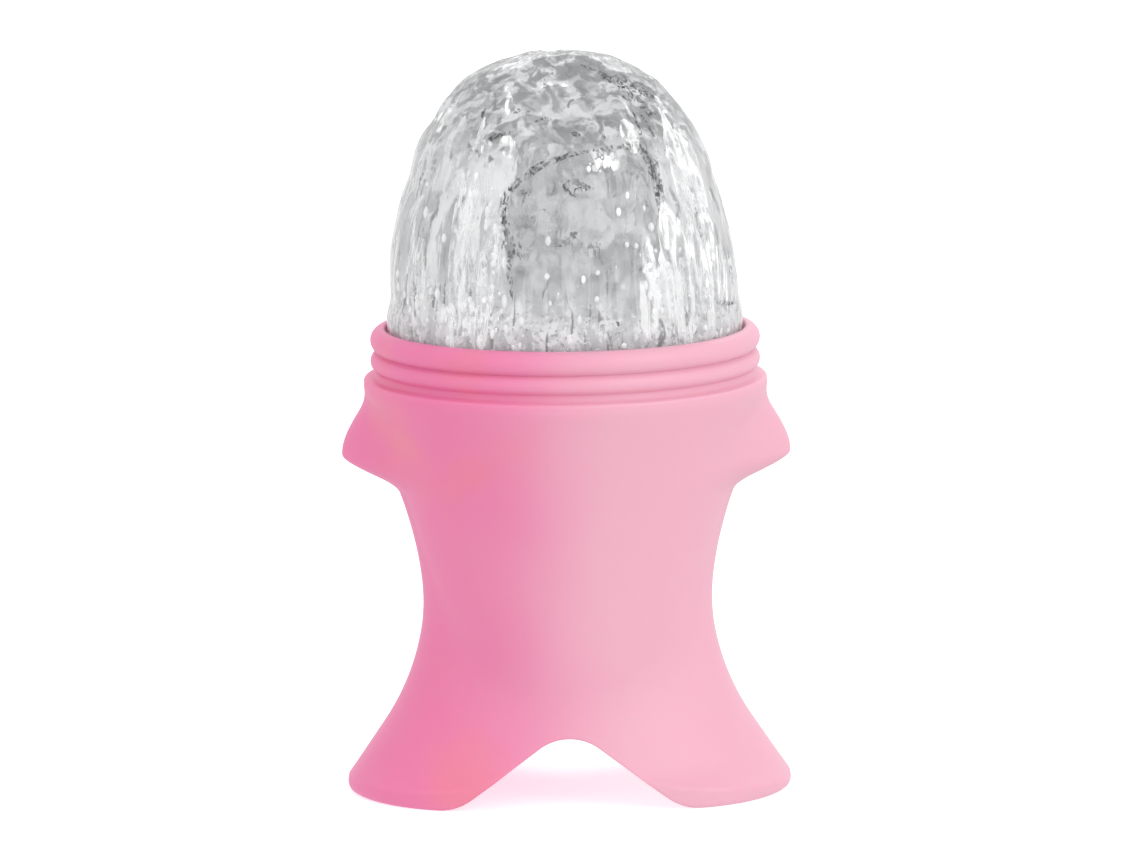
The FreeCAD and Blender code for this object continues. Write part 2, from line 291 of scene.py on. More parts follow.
class Graph:
    """One material and its nodes."""

    def __init__(self, name: str) -> None:
        """Start an empty material with an output."""
        self.material = bpy.data.materials.new(name)
        self.material.use_nodes = True
        self.tree = self.material.node_tree
        self.tree.nodes.clear()
        self.output = self.tree.nodes.new("ShaderNodeOutputMaterial")

    def node(self, kind: str, settings: dict | None = None, inputs: dict | None = None) -> bpy.types.Node:
        """Add a node, set it up and feed it.

        Args:
            kind: The node's type.
            settings: Its own settings; "stops" gives a colour ramp's (position, colour) pairs.
            inputs: Values, sockets or wrapped values by socket name or number.

        Returns:
            The node.
        """
        made = self.tree.nodes.new(kind)
        for key, setting in (settings or {}).items():
            if key == "stops":
                self._set_stops(made, setting)
            else:
                setattr(made, key, setting)
        for key, given in (inputs or {}).items():
            socket = given.socket if isinstance(given, Value) else given
            if isinstance(socket, bpy.types.NodeSocket):
                self.tree.links.new(socket, made.inputs[key])
            else:
                made.inputs[key].default_value = socket
        return made

    def _set_stops(self, ramp: bpy.types.Node, stops: list[tuple[float, Colour]]) -> None:
        """Give a colour ramp its stops."""
        elements = ramp.color_ramp.elements
        while len(elements) < len(stops):
            elements.new(0.5)
        for element, (position, colour) in zip(elements, stops):
            element.position = position
            element.color = (*colour, 1.0)

    def place(self, stretch: Colour, offset: Colour) -> bpy.types.NodeSocket:
        """Give the place on the piece in metres, scaled by stretch and moved by offset."""
        there = self.node("ShaderNodeTexCoord").outputs["Object"]
        inputs = {"Vector": there, "Scale": stretch, "Location": offset}
        return self.node("ShaderNodeMapping", {}, inputs).outputs[0]

    def along(self, axis: str) -> Value:
        """Give the place along one axis in metres."""
        there = self.node("ShaderNodeTexCoord").outputs["Object"]
        split = self.node("ShaderNodeSeparateXYZ", {}, {0: there})
        return Value(self, split.outputs[axis])

    def height(self) -> Value:
        """Give the height above the ground in metres."""
        return self.along("Z")

    def across(self) -> Value:
        """Give the distance along X in metres."""
        return self.along("X")

    def grain(
        self,
        size: float,
        detail: float = 3.0,
        warp: float = 0.0,
        stretch: Colour = (1, 1, 1),
        shift: float = 0.0,
    ) -> Value:
        """Add fractal noise.

        Args:
            size: The size of its lumps in millimetres.
            detail: How many finer layers it has.
            warp: How much it is distorted.
            stretch: Scale along X, Y and Z; below 1 draws the lumps out.
            shift: Moves the pattern, in metres, so that two patterns differ.

        Returns:
            The noise, about 0 to 1.
        """
        vector = self.place(stretch, (shift, shift, shift))
        inputs = {"Vector": vector, "Scale": 1 / (size * MM), "Detail": detail, "Distortion": warp}
        return Value(self, self.node("ShaderNodeTexNoise", {}, inputs).outputs["Fac"])

    def mix(self, factor: Number, first: object, second: object) -> bpy.types.NodeSocket:
        """Mix two colours, given as tuples or sockets."""
        inputs = {0: factor, 6: self._full(first), 7: self._full(second)}
        return self.node("ShaderNodeMix", {"data_type": "RGBA"}, inputs).outputs[2]

    def ramp(self, factor: Value, stops: list[tuple[float, Colour]]) -> bpy.types.NodeSocket:
        """Turn a value into colours."""
        return self.node("ShaderNodeValToRGB", {"stops": stops}, {0: factor}).outputs[0]

    def bump(self, height: Value, depth: float) -> bpy.types.NodeSocket:
        """Roughen the surface by a height in units of depth millimetres."""
        inputs = {"Height": height, "Distance": depth * MM, "Strength": 1.0}
        return self.node("ShaderNodeBump", {}, inputs).outputs[0]

    def surface(self, inputs: dict) -> bpy.types.Material:
        """Finish the material with one Principled shader."""
        shader = self.node("ShaderNodeBsdfPrincipled", {}, inputs)
        self.tree.links.new(shader.outputs[0], self.output.inputs["Surface"])
        return self.material

    @staticmethod
    def _full(colour: object) -> object:
        """Give a plain colour its fourth number."""
        return (*colour, 1.0) if isinstance(colour, tuple) else colour


# ---------------------------------------------------------------------------------------------------------
# Finishes


@dataclass(frozen=True)
class SiliconeFinish:
    """Soft moulded silicone rubber: satin, slightly translucent, its pink painted deeper on the shaded side
    and paler on the lit side, with painted salmon reflections on the shaded side.
    """

    shaded_pink: Colour = (0.79, 0.20, 0.39)
    pale: Colour = (0.78, 0.40, 0.505)
    reflected_salmon: Colour = (0.80, 0.23, 0.30)
    roughness: float = 0.46
    grain_size: float = 0.5
    grain_depth: float = 0.010

    def build(self) -> bpy.types.Material:
        """Make the material."""
        graph = Graph("silicone")
        # Painted light and shade: the pink is painted deeper on the -X side, away from the key light, and
        # paler on the +X side that the key light faces, with a slow wobble along the way.
        toward_light = graph.across() + 0.030 * (graph.grain(45, 2.0, shift=0.13) - 0.5)
        colour = graph.mix(toward_light.ease(-0.020, 0.012), self.shaded_pink, self.pale)
        # Painted reflection: salmon patches on the shaded -X side stand in for salmon-tinted light reflected
        # into it.
        salmon_reflection = graph.grain(22, 2.0, shift=0.31).ease(0.50, 0.72) * toward_light.ease(0.004, -0.020)
        colour = graph.mix(0.7 * salmon_reflection, colour, self.reflected_salmon)
        skin = graph.grain(self.grain_size, 3.0)
        wear = graph.grain(9, 4.0, shift=0.4)
        swell = graph.grain(14, 1.0, shift=0.2)
        return graph.surface(
            {
                "Base Color": colour,
                "Roughness": self.roughness + 0.10 * (wear - 0.5),
                "Normal": graph.bump(skin + 6.0 * swell, self.grain_depth),
                "IOR": 1.41,
                "Subsurface Weight": 0.25,
                "Subsurface Radius": (1.0, 0.35, 0.4),
                "Subsurface Scale": 0.0015,
                "Specular IOR Level": 0.5,
            }
        )


@dataclass(frozen=True)
class ClearIceFinish:
    """The wet outer skin of the ice: clear, with soft flutes and melt pits."""

    ior: float = 1.31
    flute_depth: float = 0.35

    def build(self) -> bpy.types.Material:
        """Make the material."""
        graph = Graph("clear_ice")
        flutes = graph.grain(3.2, 2.0, 0.4, stretch=(1, 1, 0.12))
        pits = graph.grain(1.6, 3.0, 0.2, shift=0.1)
        normal = graph.bump(flutes + 0.35 * pits, self.flute_depth)
        frosting = graph.grain(6, 3.0, stretch=(1, 1, 0.3), shift=0.7).ease(0.52, 0.72)
        return graph.surface(
            {
                "Base Color": (0.985, 0.99, 1.0, 1.0),
                "Roughness": 0.02 + 0.12 * frosting,
                "Normal": normal,
                "IOR": self.ior,
                "Transmission Weight": 1.0,
            }
        )


@dataclass(frozen=True)
class FrostFinish:
    """Streaks of trapped air just under the skin, drawn out upwards as the ice froze."""

    grey: Colour = (0.84, 0.845, 0.85)
    white: Colour = (0.985, 0.99, 0.99)
    dark: Colour = (0.26, 0.26, 0.265)
    shade: Colour = (0.33, 0.333, 0.338)
    haze: float = 0.35
    painted_glow: float = 0.07

    def build(self) -> bpy.types.Material:
        """Make the material."""
        graph = Graph("frost_streaks")
        streaks = graph.grain(2.4, 5.0, 0.5, stretch=(1, 1, 0.09))
        threads = graph.grain(1.5, 4.0, 0.8, stretch=(1, 1, 0.14), shift=0.5)
        clouds = graph.grain(9, 5.0, 0.8, stretch=(1, 1, 0.5), shift=0.3)
        specks = graph.grain(0.9, 3.0, 0.4, shift=0.9)
        white = streaks.ease(0.48, 0.58)
        dark = threads.ease(0.41, 0.33)
        mottle = graph.grain(3.2, 7.0, 1.0, shift=0.23).ease(0.40, 0.56)
        crown = (graph.height() + 10 * MM * (clouds - 0.5)).ease(102 * MM, 110 * MM)
        cloudy = clouds.ease(0.36, 0.64)
        buried = (graph.height() + 14 * MM * (clouds - 0.5)).ease(92 * MM, 76 * MM)
        beside = (graph.across() - 2.8 * MM).size().ease(8 * MM, 14 * MM)
        beside = beside.at_least(graph.height().ease(102 * MM, 108 * MM))
        colour = graph.mix(white * (1 - 0.6 * crown), self.grey, self.white)
        colour = graph.mix(mottle * (0.90 * crown).at_least(0.40 * buried), colour, self.shade)
        colour = graph.mix(0.8 * dark, colour, self.dark)
        colour = graph.mix(specks.ease(0.56, 0.64) * buried, colour, (1.0, 1.0, 1.0))
        colour = graph.mix(0.55 * specks.ease(0.40, 0.33) * buried, colour, self.dark)
        streaky = 0.30 + self.haze * cloudy + 0.5 * white + 0.45 * dark
        opacity = (streaky * (0.25 + 0.75 * beside) + 0.25 * crown + buried).at_most(1.0)
        return graph.surface(
            {
                "Base Color": colour,
                "Roughness": 0.35,
                "Alpha": opacity,
                "IOR": 1.31,
                # Painted glow: the frost gives off light in its own colour, though nothing in it is a lamp.
                "Emission Color": colour,
                "Emission Strength": self.painted_glow,
            }
        )


@dataclass(frozen=True)
class CloudyIceFinish:
    """The cloudy heart of the block, where the last water froze round its bubbles; its greys are partly its
    own cloudiness and partly painted shade for the duller surroundings seen through the ice.
    """

    dark: Colour = (0.17, 0.17, 0.175)
    grey: Colour = (0.50, 0.505, 0.51)
    pale: Colour = (0.90, 0.905, 0.91)
    painted_glow: float = 0.10

    def build(self) -> bpy.types.Material:
        """Make the material."""
        graph = Graph("cloudy_ice")
        clouds = graph.grain(4.5, 7.0, 1.2)
        specks = graph.grain(1.0, 3.0, 0.5, shift=0.5)
        veins = graph.grain(3.2, 5.0, 1.5, stretch=(1, 1, 0.5), shift=0.9)
        rim = graph.height().ease(96 * MM, 105 * MM)
        # The greys are partly the ice's own cloudiness and partly painted shade for the dimmer surroundings
        # seen through it; they get darker towards the top.
        colour = graph.ramp(clouds - 0.14 * rim, [(0.38, self.grey), (0.56, self.pale)])
        colour = graph.mix(0.8 * veins.ease(0.43, 0.35), colour, self.dark)
        colour = graph.mix(specks.ease(0.64, 0.72), colour, (1.0, 1.0, 1.0))
        return graph.surface(
            {
                "Base Color": colour,
                "Roughness": 0.4,
                "Normal": graph.bump(clouds + 0.5 * specks, 0.8),
                "IOR": 1.31,
                # Painted glow: the cloudy heart gives off light in its own colour.
                "Emission Color": colour,
                "Emission Strength": self.painted_glow,
            }
        )


@dataclass(frozen=True)
class SheetFinish:
    """A thin sheet in the ice with ragged gaps, used for dark cracks, for painted dark edges and for white
    sheets of painted highlight.
    """

    name: str
    tone: Colour
    fleck: Colour
    scale: float
    drawn: float
    gaps: float
    softness: float
    cover: float
    spread: float
    painted_glow: float

    def build(self) -> bpy.types.Material:
        """Make the material."""
        graph = Graph(self.name)
        blotches = graph.grain(self.scale, 6.0, 1.2, stretch=(1, 1, self.drawn))
        flecks = graph.grain(1.2, 3.0, 0.8, shift=0.6)
        colour = graph.mix(flecks.ease(0.60, 0.68), self.tone, self.fleck)
        opacity = blotches.ease(self.gaps, self.gaps + self.softness) * self.cover
        return graph.surface(
            {
                "Base Color": colour,
                "Roughness": 0.25,
                "Alpha": opacity,
                "IOR": 1.31,
                # Painted glow: the sheets give off light in their own colour, and the white sheets glow most.
                "Emission Color": colour,
                "Emission Strength": self.painted_glow,
            }
        )


# Dark sheets: cracks, and painted shade along the edge of the cloudy heart.
CRACK_AND_PAINTED_EDGE_FINISH = SheetFinish(
    name="dark_cracks_and_painted_edges",
    tone=(0.05, 0.05, 0.053),
    fleck=(0.55, 0.56, 0.57),
    scale=0.8,
    drawn=0.7,
    gaps=0.44,
    softness=0.16,
    cover=0.70,
    spread=1.0,
    painted_glow=0.0,
)
# Painted highlight: white glowing sheets that stand in for the bright highlight bands down the flanks, with
# more of them scattered all round.
PAINTED_HIGHLIGHT_FINISH = SheetFinish(
    name="painted_highlight_sheets",
    tone=(1.0, 1.0, 1.0),
    fleck=(0.90, 0.91, 0.92),
    scale=1.4,
    drawn=0.14,
    gaps=0.38,
    softness=0.24,
    cover=0.9,
    spread=1.5,
    painted_glow=0.16,
)


@dataclass(frozen=True)
class BubbleFinish:
    """Tiny bubbles in ice, which turn back nearly all the light."""

    shell: Colour = (0.92, 0.93, 0.94)
    glint: Colour = (1.0, 1.0, 1.0)
    painted_glow: float = 0.18

    def build(self) -> bpy.types.Material:
        """Make the material."""
        graph = Graph("air_bubbles")
        haze = graph.grain(2.0, 2.0)
        return graph.surface(
            {
                "Base Color": graph.mix(haze, self.shell, self.glint),
                "Roughness": 0.12 + 0.1 * haze,
                "IOR": 1.31,
                # Painted glow: the bubbles give off white light of their own.
                "Emission Color": (*self.glint, 1.0),
                "Emission Strength": self.painted_glow,
            }
        )


@dataclass(frozen=True)
class FloorFinish:
    """A seamless pale studio floor."""

    tone: Colour = (0.85, 0.85, 0.85)
    glow: float = 0.5

    def build(self) -> bpy.types.Material:
        """Make the material."""
        graph = Graph("studio_floor")
        return graph.surface(
            {
                "Base Color": (*self.tone, 1.0),
                "Roughness": 0.7,
                "Emission Color": (1.0, 1.0, 1.0, 1.0),
                "Emission Strength": self.glow,
            }
        )


# ---------------------------------------------------------------------------------------------------------
# The silicone holder


@dataclass
class Holder:
    """The one-piece silicone holder: tapered cup, beaded neck, two arms, two feet and the arch."""

    # the tapered cup
    foot_radius: float = 18.4
    shoulder_radius: float = 32.6
    shoulder_height: float = 66.0
    core_curve: float = 190.0
    # the legs, seen from the front and in plan
    waist_reach: float = 23.3
    waist_height: float = 33.0
    waist_radius: float = 40.0
    toe_reach: float = 37.3
    leg_top: float = 50.8
    leg_width_top: float = 8.5
    leg_width_foot: float = 22.8
    leg_width_height: float = 26.0
    leg_width_power: float = 1.2
    foot_flare: float = 5.5
    foot_flare_height: float = 3.2
    leg_roundness: float = 2.3
    leg_blend: float = 2.4
    foot_blend: float = 8.0
    foot_blend_height: float = 16.0
    # the soles' plan and the lip round them
    sole_reach: float = 36.5
    sole_half_width: float = 21.0
    lip_blend: float = 0.35
    # the arms
    arm_tip: float = 36.35
    arm_height: float = 55.0
    arm_blunt: float = 4.0
    arm_rise: float = 0.79
    arm_underside: float = 2.44
    arm_spread: float = 1.15
    arm_blend: float = 2.6
    arm_passes: int = 16
    arm_facing: float = 0.6
    arm_least_cosine: float = 0.3
    arm_fade: Station = (6.0, 14.0)
    # the arch
    arch_height: float = 11.5
    arch_crown: float = 8.0
    arch_slope: float = 36.5
    arch_foot: float = 9.0
    edge_radius: float = 0.7
    toe_radius: float = 1.2
    toe_sharpness: int = 6
    # the neck: its shoulder, two beads and mouth
    shoulder_edge: float = 0.5
    shoulder_lift: float = 1.1
    shoulder_fade: Station = (-0.5, 1.0)
    ledge: tuple[Station, ...] = ((31.1, 67.75), (30.75, 67.95), (30.6, 68.3), (30.6, 68.8))
    bead_reach: float = 31.5
    low_bead: float = 1.6
    low_bead_height: float = 70.3
    rim_bead: float = 2.0
    rim_bead_height: float = 73.7
    mouth: float = 29.0
    mouth_lip: float = 0.5
    # the cavity
    throat: float = 28.5
    floor_height: float = 15.6
    floor_reach: float = 16.2
    floor_round: float = 3.0
    cavity_bow: float = 1.3
    # the grid
    crowding: float = 0.2
    foot_crowding: Station = (1.6, 0.10)
    arm_crowding: Station = (1.6, 0.09)
    arm_level: float = 0.8
    wall_levels: int = 400
    wall_lift: float = 0.9
    edge_limits: Station = (5.0, 60.0)
    edge_halvings: int = 40
    steps: int = 288
    sole_rows: int = 12
    edge_rows: int = 6
    wall_rows: int = 112

    def build(self) -> bpy.types.Object:
        """Make the holder, let it ride on the cup and stand for the CAD cup."""
        stations = self.neck_and_cavity()
        wall_start = self.sole_rows + self.edge_rows
        wall_end = wall_start + self.wall_rows

        def surface(rows: Array, angles: Array) -> Array:
            """Place the underside, the rounded edge, the wall and the turned neck and cavity."""
            angles = angles - self.crowding * np.sin(2 * angles)
            places = np.zeros((len(rows), 3))
            edge = self.edge_reach(angles)
            below = rows < self.sole_rows
            places[below] = self.underside(rows[below] / self.sole_rows, angles[below], edge[below])
            turning = (rows >= self.sole_rows) & (rows < wall_start)
            share = (rows[turning] - self.sole_rows) / self.edge_rows
            places[turning] = self.rounded_edge(share, angles[turning], edge[turning])
            wall = (rows >= wall_start) & (rows < wall_end)
            share = (rows[wall] - wall_start) / self.wall_rows
            places[wall] = self.wall(share, angles[wall], edge[wall])
            turned = rows >= wall_end
            points = np.array(stations)[rows[turned] - wall_end]
            places[turned] = self.polar(points[:, 0], angles[turned], points[:, 1])
            return places

        mesh = rolled_grid(wall_end + len(stations), self.steps, surface)
        piece = to_object(mesh, "silicone_holder")
        piece.data.materials.append(SiliconeFinish().build())
        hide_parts("silicone_cup")
        return settle(piece, Body.CUP, Slot.SILICONE)

    @staticmethod
    def polar(reach: Array, angles: Array, heights: Array) -> Array:
        """Turn reach, angle and height into places."""
        return np.stack([reach * np.cos(angles), reach * np.sin(angles), heights], axis=1)

    def core(self, heights: Array) -> Array:
        """Give the tapered cup's radius, an arc that is hollow outwards."""
        run = np.array([self.shoulder_radius - self.foot_radius, self.shoulder_height])
        chord = np.hypot(*run)
        rise = math.sqrt(self.core_curve**2 - (chord / 2) ** 2)
        middle = np.array([self.foot_radius, 0.0]) + run / 2 + np.array([run[1], -run[0]]) / chord * rise
        inside = np.clip(heights, None, self.shoulder_height)
        return middle[0] - np.sqrt(self.core_curve**2 - (inside - middle[1]) ** 2)

    def leg(self, heights: Array) -> Array:
        """Give the legs' reach along X: straight from the toe, then round the waist."""
        middle = self.waist_reach + self.waist_radius
        to_middle = math.hypot(middle - self.toe_reach, self.waist_height)
        length = math.sqrt(to_middle**2 - self.waist_radius**2)
        lean = math.atan2(self.waist_height, middle - self.toe_reach)
        lean += math.asin(self.waist_radius / to_middle)
        straight = self.toe_reach + heights / math.tan(lean)
        off = np.clip(heights, 0, self.leg_top) - self.waist_height
        curved = middle - np.sqrt(self.waist_radius**2 - off**2)
        return np.where(heights < length * math.sin(lean), straight, curved)

    def legs(self, angles: Array, heights: Array) -> Array:
        """Give the reach of the legs in any direction; in plan they are rounded oblongs."""
        heights = np.maximum(heights, 0)
        fall = np.exp(-((heights / self.leg_width_height) ** self.leg_width_power))
        flare = self.foot_flare * np.exp(-((heights / self.foot_flare_height) ** 2))
        half_width = self.leg_width_top + (self.leg_width_foot - self.leg_width_top) * fall + flare
        power = self.leg_roundness
        along = np.abs(np.cos(angles)) / self.leg(heights)
        beside = np.abs(np.sin(angles)) / half_width
        reach = (along**power + beside**power) ** (-1 / power)
        return smooth_min(reach, self.sole(angles), self.lip_blend)

    def sole(self, angles: Array) -> Array:
        """Give the reach of the soles' plan, which has straight sides and round ends."""
        straight = self.sole_reach - self.sole_half_width
        cosine, sine = np.abs(np.cos(angles)), np.abs(np.sin(angles))
        side = self.sole_half_width / np.maximum(sine, 1e-6)
        end = straight * cosine + np.sqrt(np.maximum(self.sole_half_width**2 - (straight * sine) ** 2, 0))
        return np.where(side * cosine < straight, side, end)

    def arms(self, angles: Array, heights: Array, start: Array) -> Array:
        """Give the reach of the arms, blunt cones on X, by closing in on it from a start."""
        slope = np.where(heights > self.arm_height, self.arm_rise, self.arm_underside)
        rise = slope * (heights - self.arm_height)
        cosine, sine = np.abs(np.cos(angles)), np.abs(np.sin(angles))
        reach = start
        for _ in range(self.arm_passes):
            beside = self.arm_spread * reach * sine
            along = self.arm_tip + self.arm_blunt - np.sqrt(rise**2 + beside**2 + self.arm_blunt**2)
            found = along / np.maximum(cosine, self.arm_least_cosine)
            reach = (reach + np.clip(found, 1.0, self.arm_tip)) / 2
        return np.where(cosine > self.arm_facing, reach, 0.0)

    def reach(self, angles: Array, heights: Array) -> Array:
        """Give the outer wall's reach from the axis in any direction and at any height."""
        core = self.core(heights)
        blend = self.leg_blend + self.foot_blend * np.exp(-((heights / self.foot_blend_height) ** 2))
        body = smooth_max(core, self.legs(angles, heights), blend)
        arms = self.arms(angles, heights, core)
        with_arms = smooth_max(body, arms, self.arm_blend)
        near_arm = ease(*(self.waist_height + step for step in self.arm_fade), heights)
        near_neck = ease(*(self.shoulder_height + step for step in self.shoulder_fade), heights)
        body = body + (with_arms - body) * near_arm
        return body + (core - body) * near_neck

    def arch(self, across: Array) -> Array:
        """Give the underside's height: the arch's round crown, its straight sides, and the flat soles."""
        slope = math.radians(self.arch_slope)
        across = np.abs(across)
        crown_end = self.arch_crown * math.sin(slope)
        crown_low = self.arch_height - self.arch_crown * (1 - math.cos(slope))
        ground = crown_end + crown_low / math.tan(slope)
        turn = self.arch_foot * math.tan(slope / 2)
        crown = self.arch_height - self.arch_crown + np.sqrt(
            np.maximum(self.arch_crown**2 - np.minimum(across, crown_end) ** 2, 0)
        )
        side = (ground - across) * math.tan(slope)
        landing = np.clip(ground + turn - across, 0, 2 * turn)
        foot = self.arch_foot - np.sqrt(np.maximum(self.arch_foot**2 - landing**2, 0))
        outer = np.where(across < ground - turn * math.cos(slope), side, foot)
        return np.where(across < crown_end, crown, outer)

    def edge_reach(self, angles: Array) -> Array:
        """Find how far out the wall meets the underside, by halving."""
        near, far = (np.full_like(angles, limit) for limit in self.edge_limits)
        for _ in range(self.edge_halvings):
            middle = (near + far) / 2
            outside = self.reach(angles, self.arch(middle * np.cos(angles))) < middle
            far = np.where(outside, middle, far)
            near = np.where(outside, near, middle)
        return (near + far) / 2

    def rounding(self, angles: Array) -> Array:
        """Give the bottom edge's rounding, larger at the toes."""
        return self.edge_radius + self.toe_radius * np.abs(np.cos(angles)) ** self.toe_sharpness

    def underside(self, share: Array, angles: Array, edge: Array) -> Array:
        """Place the underside: straight from front to back, as the arch runs through."""
        reach = edge - self.rounding(angles)
        across = reach * np.cos(angles)
        return np.stack([across, share * reach * np.sin(angles), self.arch(across)], axis=1)

    def wall_foot(self, angles: Array, edge: Array) -> Array:
        """Give the height at which the wall begins, above the rounded edge."""
        return self.arch(edge * np.cos(angles)) + self.rounding(angles)

    def rounded_edge(self, share: Array, angles: Array, edge: Array) -> Array:
        """Place the rounded bottom edge, a curve from the underside round to the wall."""
        inner = edge - self.rounding(angles)
        foot = self.wall_foot(angles, edge)
        ends = ((inner, self.arch(inner * np.cos(angles))), (self.reach(angles, foot), foot))
        corner = (edge, self.arch(edge * np.cos(angles)))
        weights = ((1 - share) ** 2, 2 * share * (1 - share), share**2)
        reach = weights[0] * ends[0][0] + weights[1] * corner[0] + weights[2] * ends[1][0]
        height = weights[0] * ends[0][1] + weights[1] * corner[1] + weights[2] * ends[1][1]
        return self.polar(reach, angles, height)

    def wall(self, share: Array, angles: Array, edge: Array) -> Array:
        """Place the outer wall, with its rows closer together at the feet and at the arms."""
        levels = np.linspace(0, 1, self.wall_levels)
        by_foot, foot_span = self.foot_crowding
        by_arm, arm_span = self.arm_crowding
        closeness = 1 + by_foot * np.exp(-((levels / foot_span) ** 2))
        closeness += by_arm * np.exp(-(((levels - self.arm_level) / arm_span) ** 2))
        passed = np.concatenate([[0], np.cumsum((closeness[1:] + closeness[:-1]) / 2)])
        level = np.interp(share * passed[-1], passed, levels)
        foot = self.wall_foot(angles, edge)
        top = self.shoulder_height + self.wall_lift
        heights = foot + level * (top - foot)
        return self.polar(self.reach(angles, heights), angles, heights)

    def neck_and_cavity(self) -> list[Station]:
        """List the turned part's stations: shoulder, lower bead, rim bead, mouth, cavity and floor."""
        bottom = self.shoulder_height + self.shoulder_lift
        shoulder = arc((self.shoulder_radius - self.shoulder_edge, bottom), self.shoulder_edge, 0, 78, 6)
        ledge = [*bow(shoulder[-1], self.ledge[0], 0.0, 3), *self.ledge[1:]]
        lower = arc((self.bead_reach - self.low_bead, self.low_bead_height), self.low_bead, -62, 74, 12)
        rim = arc((self.bead_reach - self.rim_bead, self.rim_bead_height), self.rim_bead, -64, 90, 18)
        top = self.rim_bead_height + self.rim_bead - self.mouth_lip
        inner = arc((self.mouth + self.mouth_lip, top), self.mouth_lip, 90, 180, 4)
        throat = (self.throat, self.shoulder_height)
        neck = bow(inner[-1], throat, 0.0, 6)
        corner_height = self.floor_height + self.floor_round
        side = bow(throat, (self.floor_reach, corner_height), self.cavity_bow, 40)
        corner = arc((self.floor_reach - self.floor_round, corner_height), self.floor_round, 0, -90, 7)
        floor = bow(corner[-1], (0.0, self.floor_height), 0.0, 8)
        return without_repeats([*shoulder, *ledge, *lower, *rim, *inner, *neck, *side, *corner, *floor])


# ---------------------------------------------------------------------------------------------------------
# The ice


@dataclass(frozen=True)
class Blade:
    """One thin sheet in the ice, a ribbon along a path as seen from the front, some way under the skin."""

    path: tuple[Station, ...]
    width: float
    inset: float = 1.8


# Dark sheets: cracks in the crown and low down, and painted dark edges round the cloudy heart.
CRACKS_AND_PAINTED_EDGES = (
    # the edge of the cloudy heart: painted shade, dark sheets that stand in for its dark refracted outline
    Blade(((-9.6, 95.3), (-8.9, 99.9), (-6.6, 102.3), (-3.1, 104.6), (1.0, 106.0), (5.0, 106.6)), 1.1, 1.2),
    Blade(((4.6, 106.5), (9.1, 107.0), (11.8, 106.8), (13.4, 104.6), (14.7, 100.2), (15.1, 96.1)), 1.2, 1.2),
    Blade(((-7.6, 101.9), (-9.0, 99.9), (-9.7, 97.1), (-9.2, 94.3), (-9.8, 91.5)), 1.1, 1.2),
    Blade(((-8.6, 95.5), (-8.0, 92.1), (-8.7, 88.3), (-8.2, 83.5)), 1.0, 1.3),
    Blade(((-6.3, 93.9), (-7.0, 91.1), (-6.9, 88.7), (-8.1, 86.1), (-8.3, 83.1)), 0.8, 2.6),
    Blade(((-8.6, 86.5), (-7.6, 82.7), (-8.4, 78.9)), 0.9, 2.6),
    Blade(((13.2, 104.4), (14.0, 103.1), (14.1, 101.7), (14.8, 100.1)), 0.9, 2.6),
    # the dark knot in its upper part
    Blade(((-0.1, 101.4), (0.9, 100.5), (1.8, 100.0), (2.9, 100.5), (4.1, 101.1)), 1.4),
    Blade(((-1.2, 102.1), (0.6, 101.5), (2.0, 101.7), (3.4, 100.8), (5.0, 100.5)), 1.0, 2.6),
    # the crown
    Blade(((2.9, 118.9), (5.8, 117.7), (8.3, 116.4), (10.2, 115.1), (13.0, 114.3), (15.0, 113.4)), 1.0, 1.2),
    Blade(((7.4, 117.0), (9.2, 116.5), (10.4, 115.6)), 1.5, 1.2),
    Blade(((10.2, 115.5), (12.0, 115.3), (13.6, 114.3)), 1.4, 1.2),
    Blade(((9.4, 114.3), (11.4, 113.9), (12.9, 113.1)), 1.0, 1.2),
    Blade(((12.2, 112.4), (13.4, 112.0), (13.9, 111.2), (14.8, 111.0)), 0.8),
    Blade(((-12.8, 107.0), (-10.4, 108.5), (-7.4, 109.4)), 0.6),
    Blade(((-4.4, 110.8), (-3.2, 111.4), (-2.2, 111.1), (-0.9, 111.7)), 0.6, 2.4),
    Blade(((-8.8, 112.6), (-7.6, 112.1), (-6.6, 112.6), (-5.6, 112.1)), 0.5, 2.2),
    Blade(((-12.2, 112.6), (-12.8, 111.4), (-12.1, 110.4), (-12.5, 109.3)), 0.5),
    Blade(((1.4, 109.1), (3.0, 109.0)), 0.9),
    Blade(((5.9, 111.2), (6.5, 108.4), (5.0, 107.2)), 0.5),
    # low down
    Blade(((7.0, 79.9), (8.9, 79.2)), 0.8),
    Blade(((-2.2, 92.3), (-0.4, 92.0)), 0.6),
    Blade(((24.2, 81.2), (27.0, 80.0)), 0.8, 0.8),
    Blade(((-7.6, 78.8), (-7.2, 77.7), (-6.4, 77.4), (-5.9, 76.4)), 0.5),
)

